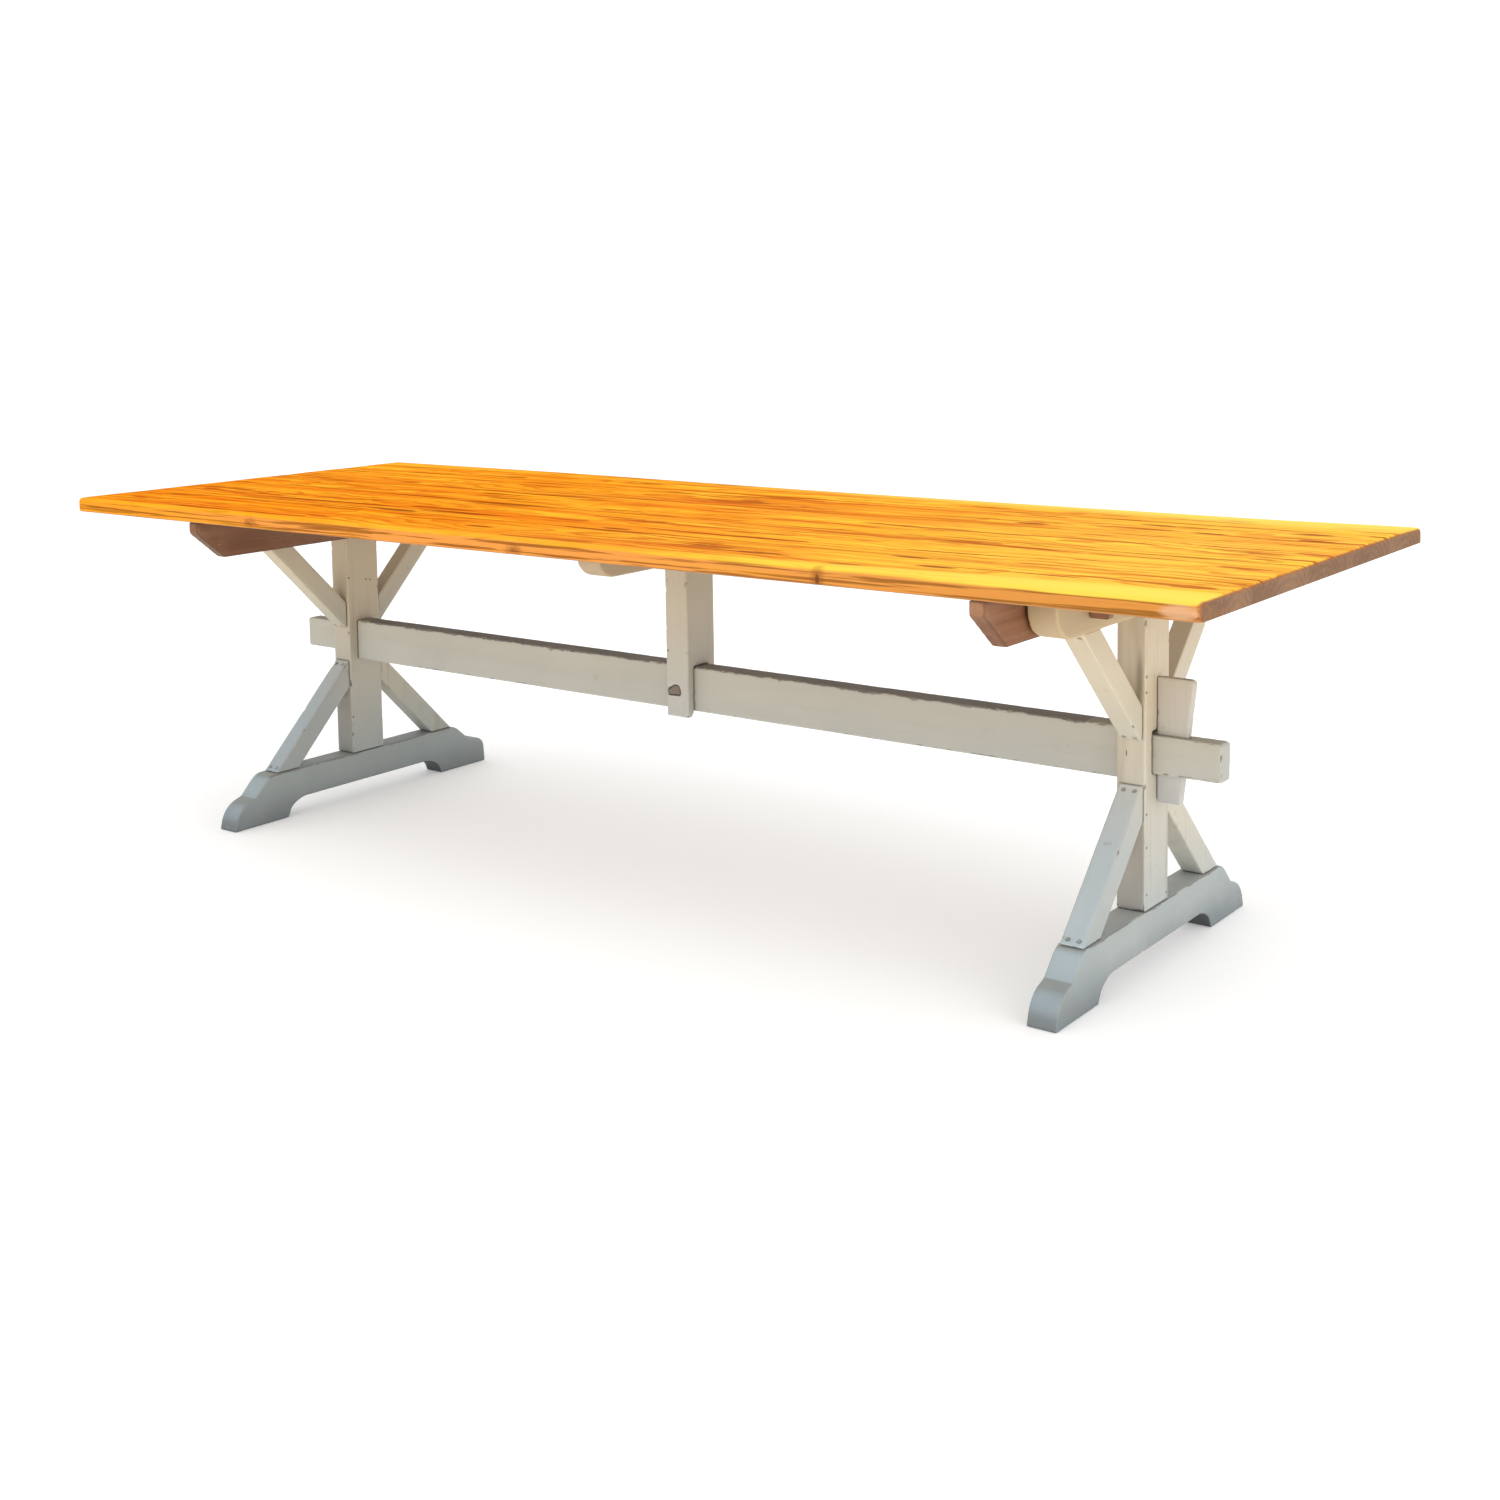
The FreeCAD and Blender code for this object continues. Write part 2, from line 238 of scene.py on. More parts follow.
def makeStage():
    settings = stageSettings
    bpy.ops.mesh.primitive_plane_add(size=settings["floorSize"], location=(0, 0, 0))
    floor = bpy.context.object
    floor.name = "floor"
    finish = Finish("paleFloor")
    cloud = finish.noise(finish.objectPlace(), 0.6, 2.0)
    shade = tuple(part * settings["floorShade"] for part in settings["floorColour"])
    tone = finish.mix(cloud, settings["floorColour"], shade)
    glow = {"Emission Color": tone, "Emission Strength": settings["floorGlow"]}
    floor.data.materials.append(finish.close(tone, settings["floorRough"], cloud, 0.0, 0.001, glow))
    world = bpy.data.worlds.new("studio")
    world.use_nodes = True
    background = world.node_tree.nodes["Background"]
    background.inputs["Color"].default_value = settings["worldColour"] + (1.0,)
    background.inputs["Strength"].default_value = settings["worldStrength"]
    scene.world = world


def makeLamps():
    for name, place, aim, size, watts, colour in lamps:
        lamp = bpy.data.lights.new(name, "AREA")
        lamp.shape = "RECTANGLE"
        lamp.size, lamp.size_y = size
        lamp.energy = watts
        lamp.color = colour
        holder = bpy.data.objects.new(name, lamp)
        holder.location = place
        towards = Vector(aim) - Vector(place)
        holder.rotation_euler = towards.to_track_quat("-Z", "Y").to_euler()
        scene.collection.objects.link(holder)


def makeCamera():
    settings = cameraSettings
    lens = bpy.data.cameras.new("camera")
    lens.sensor_width = settings["sensor"]
    lens.lens = settings["sensor"] * settings["focal"] / settings["frameSize"]
    lens.shift_x = 0.5 - settings["centre"][0] / settings["frameSize"]
    lens.shift_y = settings["centre"][1] / settings["frameSize"] - 0.5
    lens.clip_end = 100.0
    camera = bpy.data.objects.new("camera", lens)
    turn = Euler((math.pi / 2 + settings["tilt"], 0.0, settings["heading"])).to_matrix()
    turn = turn @ Matrix.Rotation(settings["roll"], 3, "Z")
    camera.rotation_euler = turn.to_euler()
    camera.location = settings["place"]
    scene.collection.objects.link(camera)
    scene.camera = camera
    scene.view_settings.view_transform = "Standard"


makeStage()
makeLamps()
makeCamera()
print("stage, lamps and camera ready")


paintLook = {
    # the paint's tone by height, warm near the top and cool near the floor: painted warm bounce light from
    # the top and painted cool skylight
    "heights": [
        (0.00, (0.300, 0.336, 0.338)), (0.09, (0.372, 0.414, 0.412)), (0.24, (0.430, 0.455, 0.435)),
        (0.36, (0.515, 0.490, 0.420)), (0.56, (0.600, 0.510, 0.370)), (0.74, (0.625, 0.495, 0.325)),
    ],
    "pale": (0.62, 0.61, 0.56),
    "thin": (0.40, 0.37, 0.315),
    "primer": (0.34, 0.30, 0.25),
    "wood": (0.175, 0.155, 0.125),
    "grimeAndShade": (0.262, 0.262, 0.245),
    "sootAndShade": (0.200, 0.188, 0.178),
    "shadow": (0.060, 0.064, 0.066),
    "run": (0.330, 0.255, 0.180),
    "drip": (0.190, 0.148, 0.100),
    "seam": (0.120, 0.104, 0.086),
    "arrisHighlight": (1.20, 1.20, 1.17),      # painted highlight: how much lighter the edges are
    "paintedSkylight": (1.13, 1.23, 1.34),    # painted skylight on low faces that look up and to the front
    "lowFrontShade": (0.86, 0.80, 0.77),   # painted shade on upright faces to the front, near the floor
    "nearFloorShade": (0.66, 0.68, 0.71),     # painted shade on the last few centimetres above the floor
    "tenonEnd": (0.86, 0.92, 0.98),
    # small nicks and pin holes on the posts, in metres
    "nicks": [
        (1.0965, -0.045, 0.536), (1.0965, -0.046, 0.508), (1.0965, -0.044, 0.288),
        (1.0965, -0.043, 0.228), (1.0965, -0.042, 0.142), (1.0965, 0.039, 0.126),
        (-0.9835, 0.009, 0.533), (-0.9835, 0.022, 0.531), (-0.9835, 0.046, 0.511),
        (-0.9835, -0.045, 0.543), (-0.9835, -0.046, 0.201), (0.012, -0.047, 0.47),
    ],
    "slits": [(1.060, -0.050, 0.396)],
    "stains": [(1.084, -0.050, 0.535)],
    "nickSize": 0.0028,
}


def makePaint():
    look = paintLook
    finish = Finish("wornPaint")
    place = finish.attribute("grain", 1)
    world = finish.objectPlace()
    names = ("wear", "chip", "crease", "seam", "warm", "rag")
    wear, chip, crease, seam, warm, rag = [finish.attribute(name) for name in names]
    tint = finish.attribute("tint", 1)
    worldX, worldY, height = finish.split(world)
    facingX, facingY, upward = finish.facing()

    cloud = finish.noise(world, 3.2, 4.0, 0.6)
    blotch = finish.noise(world, 11.0, 5.0, 0.65)
    fine = finish.noise(world, 85.0, 4.0, 0.7)
    speck = finish.noise(world, 300.0, 3.0, 0.7)
    brush = finish.streaks(place, 7.0, 260.0, 4.0, 0.6)
    grainLine = finish.streaks(place, 2.0, 80.0, 3.0, 0.55, 0.4)
    band = finish.streaks(place, 1.6, 24.0, 3.0, 0.6, 0.3)
    run = finish.noise(finish.stretch(world, (26.0, 26.0, 1.8)), 1.0, 3.0, 0.6)

    runShare = run.between(0.54, 0.70) * warm.between(0.02, 0.09) * 0.34
    # tone by height, which carries the painted bounce light and skylight
    tone = finish.ramp(height + warm + (cloud - 0.5) * 0.16, look["heights"])
    tone = finish.layers(tone, look, [
        (cloud.between(0.44, 0.70) * 0.20, "pale"),
        (band.between(0.50, 0.74) * 0.16, "thin"),
        (blotch.between(0.55, 0.80) * 0.22, "thin"),
        (brush.between(0.42, 0.75) * 0.08, "thin"),
        (brush.between(0.47, 0.26) * 0.08, "pale"),
        (grainLine.between(0.63, 0.76) * 0.14, "thin"),
        (runShare, "run"),
    ])
    # each piece's tint, with the painted light and shade of its gains
    tone = finish.mix(1.0, tone, tint, "MULTIPLY")

    # painted skylight on low faces that look up, painted shade on low front faces and near the floor, and a
    # greyer tenon end
    paintedSkylight = (upward * 0.6 - facingY * 0.8).between(0.86, 0.98) * height.between(0.46, 0.36)
    lowFrontShade = (0.0 - facingY).between(0.85, 0.98) * height.between(0.30, 0.22)
    tenonEnd = facingX.between(0.6, 0.9) * worldX.between(1.15, 1.17)
    tone = finish.layers(tone, look, [
        (paintedSkylight, "paintedSkylight"),
        (lowFrontShade, "lowFrontShade"),
        (height.between(0.085, -0.010), "nearFloorShade"),
        (tenonEnd, "tenonEnd"),
    ], "MULTIPLY")

    # painted highlights along the arrises, with bare wood only where an edge is chipped
    rub = wear * 0.9 + (fine - 0.5) * 0.7 + (blotch - 0.5) * 1.7
    level = upward.between(0.90, 0.995)
    flake = finish.noise(finish.stretch(world, (24.0, 24.0, 70.0)), 1.0, 4.0, 0.7)
    torn = (rag * (wear * 0.12 + 0.36) + flake).between(0.80, 0.84) * (1.0 - level)
    bare = (chip + (fine - 0.5) * 0.55).between(0.50, 0.70)
    timber = finish.mix(grainLine.between(0.3, 0.7), look["wood"], look["primer"])
    tone = finish.mix(rub.between(0.50, 0.95) * 0.60, tone, look["arrisHighlight"], "MULTIPLY")
    tone = finish.mix(bare * 0.75, tone, timber)
    tone = finish.mix(torn * 0.80, tone, look["sootAndShade"])

    # dust on level tops, with painted shade under the table top that is darkest on the stretcher's top;
    # painted shade in creases; dirt and painted shade where two pieces meet; a painted shadow under downward
    # faces and in the arches; and real specks and stains
    high = height.between(0.20, 0.34)
    dustAndShade = level * (blotch + cloud).between(0.55, 1.0) * (high * 0.50 + 0.10)
    corner = (crease + (fine - 0.5) * 0.4).between(0.25, 0.85)
    gap = (seam + (fine - 0.5) * 0.7).between(0.50, 0.98)
    stainAway = finish.nearest(world, look["stains"], (2.2, 1.0, 0.30)) + (run - 0.5) * 0.050
    inArch = (worldY * worldY).between(0.0760, 0.0690) * (facingX * facingX).between(0.5, 0.2)
    under = (0.0 - upward).between(0.25, 0.85).atLeast(inArch * height.between(0.050, 0.044))
    stain = finish.noise(world, 40.0, 2.0, 0.5).between(0.70, 0.755)
    tone = finish.layers(tone, look, [
        (dustAndShade, "grimeAndShade"),
        (level * rag.between(0.90, 1.0) * high * 0.90, "sootAndShade"),
        (corner * 0.36, "grimeAndShade"),
        (gap * 0.50, "seam"),
        (stainAway.between(0.024, 0.008) * 0.55, "drip"),
        (under * height.between(0.12, 0.10) * 0.88, "shadow"),
        (speck.between(0.69, 0.78) * 0.28, "grimeAndShade"),
        (stain * 0.30, "grimeAndShade"),
    ])

    size = look["nickSize"]
    ragged = (finish.noise(world, 700.0, 2.0) - 0.5) * size
    nick = (finish.nearest(world, look["nicks"]) + ragged).between(size * 1.15, size * 0.65)
    slitAway = finish.nearest(world, look["slits"], (2.0, 1.0, 0.42)) + ragged
    slit = slitAway.between(size * 1.1, size * 0.7)
    mark = nick.atLeast(slit)
    tone = finish.mix(mark * 0.85, tone, look["seam"])

    gloss = 0.56 + (brush - 0.5) * 0.24 + bare * 0.20 + dustAndShade * 0.16
    relief = brush * 0.30 + grainLine * 0.40 + speck * 0.10 - bare * 0.35 - mark * 1.2
    return finish.close(tone, gloss, relief, 0.24, 0.0012, {"Specular IOR Level": 0.28})


pineLook = {
    "early": (0.97, 0.400, 0.018),
    "middle": (0.94, 0.312, 0.012),
    "late": (0.55, 0.104, 0.002),
    "goldAndHighlight": (1.00, 0.620, 0.044),
    "paleGoldHighlight": (1.00, 0.560, 0.070),
    "lemonHighlight": (1.00, 0.740, 0.130),
    "red": (0.86, 0.200, 0.026),
    "dark": (0.440, 0.086, 0.003),
    "resin": (0.280, 0.055, 0.003),
    "deeper": (0.960, 0.780, 0.480),      # painted shade over the left front part
    "edge": (0.800, 0.300, 0.068),
    "edgeDark": (0.200, 0.052, 0.010),
    "seam": (0.300, 0.066, 0.004),
    "under": (0.330, 0.265, 0.195),
    "endPale": (0.285, 0.172, 0.106),
    "endDark": (0.180, 0.106, 0.068),
    "endRim": (0.300, 0.095, 0.042),
    "bareCorner": (0.74, 0.430, 0.250),
    "knot": (0.150, 0.050, 0.018),
    "ringSize": 0.0140,
    "pithDepth": 0.055,                   # how far the pith lies under the board
    # knots on the front edge, resin streaks on the top and seams, in metres
    "edgeKnots": [(-0.762, -0.506, 0.742), (0.015, -0.506, 0.739)],
    "deepKnots": [(0.716, -0.506, 0.740)],
    "longStreaks": [
        (-0.363, -0.262, 0.762), (-0.414, -0.088, 0.762), (-0.712, -0.252, 0.762),
        (-0.885, -0.256, 0.762), (-0.429, 0.082, 0.762), (-0.685, -0.074, 0.762),
    ],
    "shortStreaks": [
        (0.093, -0.298, 0.762), (0.744, -0.462, 0.762), (0.793, -0.335, 0.762),
        (0.887, -0.411, 0.762), (-0.172, -0.408, 0.762), (0.751, 0.173, 0.762),
        (1.106, 0.200, 0.762), (1.312, 0.197, 0.762), (1.271, 0.284, 0.762),
        (0.977, 0.265, 0.762), (1.079, 0.410, 0.762), (-0.795, 0.353, 0.762),
    ],
    "seams": [(0.0, -0.318, 0.0), (0.0, -0.096, 0.0), (0.0, 0.126, 0.0), (0.0, 0.316, 0.0)],
    "corner": [(1.362, -0.506, 0.742)],
}


def makePine():
    look = pineLook
    finish = Finish("amberPine")
    place = finish.attribute("grain", 1)
    world = finish.objectPlace()
    wear = finish.attribute("wear")
    board = finish.attribute("board")
    across, deep = finish.split(place)[1:]
    worldX, worldY = finish.split(world)[:2]
    facingX, _, facingZ = finish.facing()

    # growth rings round a pith that wanders under each board
    slow = finish.noise(finish.stretch(place, (0.85, 1.6, 1.0)), 1.0, 2.0, 0.5) - 0.5
    sway = finish.noise(finish.stretch(place, (2.6, 5.0, 3.0)), 1.0, 3.0, 0.5) - 0.5
    ripple = finish.streaks(place, 6.0, 50.0, 3.0, 0.55) - 0.5
    pithY = across + slow * 0.16
    pithZ = deep + look["pithDepth"] + sway * 0.060
    radius = (pithY * pithY + pithZ * pithZ).root()
    phase = (radius / look["ringSize"] + sway * 1.6 + ripple * 0.9).fraction()
    lateWood = phase.between(0.35, 0.90) * phase.between(1.0, 0.94)

    fibre = finish.streaks(place, 12.0, 800.0, 3.0, 0.6)
    fleck = finish.streaks(place, 4.0, 120.0, 4.0, 0.65)
    ribbon = finish.streaks(place, 1.1, 24.0, 3.0, 0.60)
    strand = finish.streaks(place, 2.2, 40.0, 3.0, 0.60, offset=(1.0, 2.0, 5.0))
    dash = finish.streaks(place, 3.6, 36.0, 3.0, 0.5, offset=(3.0, 7.0, 1.0))
    crack = finish.streaks(place, 2.4, 44.0, 2.0, 0.5, offset=(7.0, 3.0, 2.0))
    patch = finish.streaks(place, 1.3, 5.0, 3.0, 0.55)
    flush = finish.streaks(place, 0.9, 3.0, 2.0, offset=(4.0, 1.0, 0.0))

    # the grain is quieter in some places, and at the right end
    lull = finish.streaks(place, 0.8, 4.0, 2.0, offset=(9.0, 5.0, 2.0))
    busy = 1.0 - lull.between(0.40, 0.62) * 0.70
    busy = busy * (1.0 - worldX.between(0.1, 1.1) * 0.42)

    # painted sunlight: each board yellower towards the right and the front, with a painted highlight at the
    # right end
    paintedSunlight = (worldX + worldY * -0.3).between(-0.2, 1.3)
    strength = (patch + (fleck - 0.5) * 0.6).between(0.15, 0.75) * 0.50 + 0.20
    tone = finish.mix(patch.between(0.34, 0.66), look["middle"], look["early"])
    tone = finish.layers(tone, look, [
        (board * paintedSunlight, "goldAndHighlight"),
        (worldX.between(0.45, 1.25) * 0.60, "paleGoldHighlight"),
        (flush.between(0.50, 0.70) * 0.40, "red"),
        (ribbon.between(0.48, 0.36) * 0.50, "goldAndHighlight"),
        (ribbon.between(0.53, 0.66) * busy * 0.45, "late"),
        (strand.between(0.46, 0.37) * 0.62, "goldAndHighlight"),
        (strand.between(0.55, 0.61) * busy * 0.72, "late"),
        (lateWood * strength, "late"),
        (fleck.between(0.57, 0.70) * 0.40, "late"),
        (fibre.between(0.46, 0.78) * 0.14, "late"),
        (dash.between(0.615, 0.645) * 0.78, "dark"),
        (crack.between(0.660, 0.680) * 0.85, "resin"),
    ])

    # resin streaks that stand in their own places, and dirt along the seams
    wobble = (fleck - 0.5) * 0.010
    longAway = finish.nearest(world, look["longStreaks"], (0.055, 1.0, 1.0)) + wobble
    shortAway = finish.nearest(world, look["shortStreaks"], (0.22, 1.0, 1.0)) + wobble
    streak = longAway.between(0.0100, 0.0050).atLeast(shortAway.between(0.0110, 0.0060))
    seamAway = finish.nearest(world, look["seams"], (0.0, 1.0, 0.0)) + (ribbon - 0.5) * 0.020
    seamLine = seamAway.between(0.0044, 0.0020)
    tone = finish.mix(streak * 0.85, tone, look["resin"])
    tone = finish.mix(seamLine * 0.55, tone, look["seam"])

    # painted highlights along the long rims, most at the right end, and painted shade over the left front
    # part
    reach = worldX.between(0.2, 1.35)
    frontward = 0.0 - worldY + (ribbon - 0.5) * 0.06
    rimHighlight = frontward.between(0.486 - reach * 0.072, 0.500 - reach * 0.050)
    rearHighlight = (worldY + (ribbon - 0.5) * 0.06).between(0.390 - reach * 0.060, 0.480)
    shaded = worldX.between(0.45, -0.85) * worldY.between(0.50, -0.25)
    tone = finish.layers(tone, look, [
        (rimHighlight * (reach * 0.30 + 0.48), "goldAndHighlight"),
        (rimHighlight * reach * (fleck * 0.5 + 0.30), "lemonHighlight"),
        (rearHighlight * worldX.between(-0.6, 0.9) * 0.75, "lemonHighlight"),
    ])
    tone = finish.mix(shaded, tone, look["deeper"], "MULTIPLY")

    # the front edge is browner, with knots
    side = (facingZ + (strand - 0.5) * 0.4).between(0.62, 0.25)
    thread = finish.streaks(place, 3.5, 190.0, 3.0, 0.6)
    plank = finish.mix(worldX.between(0.1, 1.4) * 0.30, look["edge"], look["edgeDark"])
    plank = finish.mix(worldX.between(-0.6, -1.2) * 0.75, plank, look["middle"])
    plank = finish.mix(thread.between(0.50, 0.58) * 0.80, plank, look["edgeDark"])
    plank = finish.mix(ribbon.between(0.47, 0.35) * 0.45, plank, look["early"])
    bent = (finish.noise(world, 90.0, 2.0) - 0.5) * 0.016
    knotAway = finish.nearest(world, look["edgeKnots"], (0.45, 1.0, 0.9)) + (thread - 0.5) * 0.006 + bent
    deepAway = finish.nearest(world, look["deepKnots"], (1.25, 1.0, 0.55)) + (thread - 0.5) * 0.006
    knot = deepAway.between(0.0070, 0.0040).atLeast(knotAway.between(0.0050, 0.0020) * 0.5)
    tone = finish.mix(side * 0.92, tone, plank)
    tone = finish.layers(tone, look, [
        (knotAway.between(0.015, 0.004) * 0.40, "edgeDark"),
        (deepAway.between(0.024, 0.007) * 0.45, "edgeDark"),
        (knot * 0.80, "knot"),
    ])

    # end grain is greyer, and one corner is rubbed bare
    endFace = (facingX * facingX).between(0.30, 0.66)
    endMark = (patch + (fleck - 0.5) * 0.5 + lateWood * 0.10).between(0.36, 0.74)
    endTone = finish.mix(endMark * 0.8, look["endPale"], look["endDark"])
    endRim = (facingX * facingX).between(0.10, 0.40) * (facingX * facingX).between(0.86, 0.50)
    cornerAway = finish.nearest(world, look["corner"], (0.32, 1.0, 1.0)) + (fleck - 0.5) * 0.012
    bareCorner = cornerAway.between(0.0130, 0.0070)
    tone = finish.mix(endFace, tone, endTone)
    tone = finish.layers(tone, look, [
        (endRim * 0.55, "endRim"),
        (bareCorner * 0.70, "bareCorner"),
        (wear.between(0.35, 1.0) * (fibre - 0.15) * 0.3, "edge"),
    ])

    # the undersides were never varnished
    below = (0.0 - facingZ).between(0.50, 0.92)
    rawTone = finish.mix(strand.between(0.42, 0.62) * 0.5, look["under"], look["endDark"])
    tone = finish.mix(below * 0.95, tone, rawTone)

    sheen = worldX.between(-0.6, 1.3) * 0.045 + 0.012 + (patch - 0.5) * 0.03
    sheen = (sheen - endFace * 0.05 - bareCorner * 0.04 - below * 0.06).atLeast(0.0)
    gloss = 0.42 + (patch - 0.5) * 0.16 + (fibre - 0.5) * 0.12 + endFace * 0.3 + below * 0.3
    relief = fibre * 0.3 + lateWood * 0.25 + fleck * 0.25 - streak * 0.5 - knot * 0.4 - seamLine * 0.6
    settings = {"Coat Weight": sheen, "Coat Roughness": 0.16, "Specular IOR Level": 0.0}
    return finish.close(tone, gloss, relief, 0.22, 0.0008, settings)


stainLook = {
    "dark": (0.190, 0.078, 0.036),
    "mid": (0.260, 0.118, 0.056),
    "pale": (0.370, 0.195, 0.105),
    "outlineAndShade": (0.085, 0.044, 0.028),
}


def makeStain():
    look = stainLook
    finish = Finish("brownStain")
    grain = finish.attribute("grain", 1)
    world = finish.objectPlace()
    upward = finish.facing()[2]
    cloud = finish.noise(world, 6.0, 4.0, 0.6)
    line = finish.streaks(grain, 3.0, 70.0, 4.0, 0.6, 0.3)
    fibre = finish.streaks(grain, 14.0, 600.0, 3.0, 0.6)
    scuffs = finish.noise(finish.stretch(world, (60.0, 22.0, 60.0)), 1.0, 2.0)
    rim = finish.attribute("wear") + (finish.noise(world, 40.0, 3.0) - 0.5) * 0.5
    tone = finish.layers(look["mid"], look, [
        (line.between(0.3, 0.7), "dark"),
        (cloud.between(0.45, 0.75) * 0.4, "pale"),
        (fibre.between(0.5, 0.8) * 0.25, "dark"),
    ])
    # the tint holds each cleat's painted light gain
    tone = finish.mix(1.0, tone, finish.attribute("tint", 1), "MULTIPLY")
    # stain has gathered dark on the arrises and a few scuffs show through; dirt and painted shade where
    # pieces meet, and painted shade on faces that look down
    tone = finish.layers(tone, look, [
        (rim.between(0.45, 0.85) * 0.42, "outlineAndShade"),
        (scuffs.between(0.70, 0.76) * 0.5, "pale"),
        (finish.attribute("seam").between(0.45, 0.95) * 0.7, "outlineAndShade"),
        ((0.0 - upward).between(0.2, 0.8) * 0.40, "outlineAndShade"),
    ])
    gloss = 0.58 + (line - 0.5) * 0.2
    return finish.close(tone, gloss, line * 0.5 + fibre * 0.4, 0.30, 0.0008, {"Specular IOR Level": 0.3})


endGrainLook = {
    "pale": (0.275, 0.220, 0.164),
    "dark": (0.138, 0.102, 0.073),
    "pore": (0.05, 0.036, 0.026),
    "pith": (0.02, 0.01),          # offset of the pith across and down, in metres
    "rings": 420.0,                # to the metre
    "rough": 0.78,
}


def makeEndGrain():
    look = endGrainLook
    finish = Finish("bareEndGrain")
    grain = finish.attribute("grain", 1)
    _, across, deep = finish.split(grain)
    fromPithY = across + look["pith"][0]
    fromPithZ = deep + look["pith"][1]
    radius = (fromPithY * fromPithY + fromPithZ * fromPithZ).root()
    ring = (radius * look["rings"] + finish.noise(grain, 60.0, 3.0) * 1.2).fraction()
    pore = finish.noise(grain, 900.0, 3.0, 0.7)
    tone = finish.layers(look["pale"], look, [
        (ring.between(0.2, 0.95), "dark"),
        (pore.between(0.5, 0.75) * 0.6, "pore"),
    ])
    return finish.close(tone, look["rough"], pore * 0.6 + ring * 0.3, 0.5, 0.0006, {})


ironLook = {
    "iron": (0.105, 0.095, 0.085),
    "rust": (0.130, 0.082, 0.055),
    "pit": (0.035, 0.028, 0.022),
    "paintTop": 0.690,        # nails above this height were never painted
    "paintTint": (0.84, 0.84, 0.86),
}


def makeIron():
    # Nail heads: brushed over with paint, which has rubbed through on a few.
    look = ironLook
    finish = Finish("oldIron")
    world = finish.objectPlace()
    height = finish.split(world)[2]
    rust = finish.noise(world, 420.0, 4.0, 0.65)
    pit = finish.noise(world, 1400.0, 2.0, 0.6)
    patchy = finish.noise(world, 34.0, 2.0, 0.5) + (rust - 0.5) * 0.50
    painted = height.between(look["paintTop"], look["paintTop"] - 0.01)
    cover = patchy.between(0.66, 0.52) * painted
    tone = finish.layers(look["iron"], look, [
        (rust.between(0.35, 0.7), "rust"),
        (pit.between(0.5, 0.8) * 0.5, "pit"),
    ])
    # painted-over heads take the paint's height tones, painted light included
    coat = finish.mix(1.0, finish.ramp(height, paintLook["heights"]), look["paintTint"], "MULTIPLY")
    tone = finish.mix(cover * 0.52 + painted * 0.40, tone, coat)
    gloss = 0.52 + (rust - 0.5) * 0.4
    metal = (1.0 - cover) * rust.between(0.62, 0.35) * 0.6
    return finish.close(tone, gloss, rust * 0.6 + pit * 0.4, 0.4, 0.0004, {"Metallic": metal})


finishes = {
    "paint": makePaint(),
    "pine": makePine(),
    "stain": makeStain(),
    "endGrain": makeEndGrain(),
    "iron": makeIron(),
}
print("finishes ready")


def newPiece(name, mesh, material, body, replaced):
    piece = bpy.data.objects.new(name, mesh)
    scene.collection.objects.link(piece)
    mesh.materials.clear()
    mesh.materials.append(material)
    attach(piece, body)
    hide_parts(*replaced)


def saveField(mesh, name, values):
    kind = "FLOAT_VECTOR" if values.ndim == 2 else "FLOAT"
    field = mesh.attributes.new(name, kind, "POINT")
    key = "vector" if values.ndim == 2 else "value"
    field.data.foreach_set(key, values.astype(np.float32).ravel())


def readVectors(mesh, key):
    # Places or normals of a mesh's points, by key "co" or "normal".
    vectors = np.empty(len(mesh.vertices) * 3, np.float32)
    mesh.vertices.foreach_get(key, vectors)
    return vectors.reshape(-1, 3).astype(np.float64)


def writePoints(mesh, points):
    mesh.vertices.foreach_set("co", points.astype(np.float32).ravel())
    mesh.update()


def boxOf(nodeName):
    return [np.array(corner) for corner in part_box(nodeName)]


def bodyOf(nodeName):
    bodies = frame["record"]["behaviour"]["bodies"]
    return next(body for body, names in bodies.items() if nodeName in names)


def mergedCopy(nodeName):
    mesh = bpy.data.meshes.new(nodeName + "Copy")
    shape = bmesh.new()
    shape.from_mesh(nodes[nodeName].data)
    bmesh.ops.remove_doubles(shape, verts=shape.verts, dist=1e-6)
    shape.to_mesh(mesh)
    shape.free()
    return mesh


def looseParts(shape):
    # Groups of vertices that hang together, in the order that they are found.
    seen = set()
    groups = []
    for start in shape.verts:
        if start in seen:
            continue
        seen.add(start)
        group = [start]
        for vert in group:
            for edge in vert.link_edges:
                other = edge.other_vert(vert)
                if other not in seen:
                    seen.add(other)
                    group.append(other)
        groups.append(group)
    return groups


def grainSpace(points, direction, offset):
    # Turns points so that x runs with the grain.
    along = Vector(direction).normalized()
    aside = along.cross(Vector((0, 0, 1))) if abs(along.z) < 0.9 else along.cross(Vector((0, 1, 0)))
    aside.normalize()
    turn = np.array([along, aside, along.cross(aside)])
    return points @ turn.T + np.array(offset)


def noiseField(points, scale, seed):
    spots = points * scale + seed
    return np.array([noise.noise(spot) for spot in spots])


wornLook = {
    "rounding": 0.0011,      # how far every edge is eased
    "roundingPower": 1.6,    # higher keeps the loss nearer to the arris
    "chipDepth": 0.0024,     # extra loss where an edge is chipped
    "chipScale": 70.0,
    "chipFrom": 0.50,        # higher leaves fewer chips
    "chipSpan": 0.30,        # from the first mark to a full chip
    "chipReach": 1.6,        # higher lets chips run further in
    "waver": 0.00030,        # hand-planed unevenness of the faces
    "waverScale": 9.0,
    "edgeReach": 0.0065,     # how far in from an edge the wear still shows
    "squareBulge": 0.42,     # a square arris stands out by this many voxels after ten rounds
    "seamReach": 0.0030,     # dirt and painted shade show this near to another piece
    "tintLow": 0.10,         # heights between which a piece's tint changes
    "tintHigh": 0.60,
}


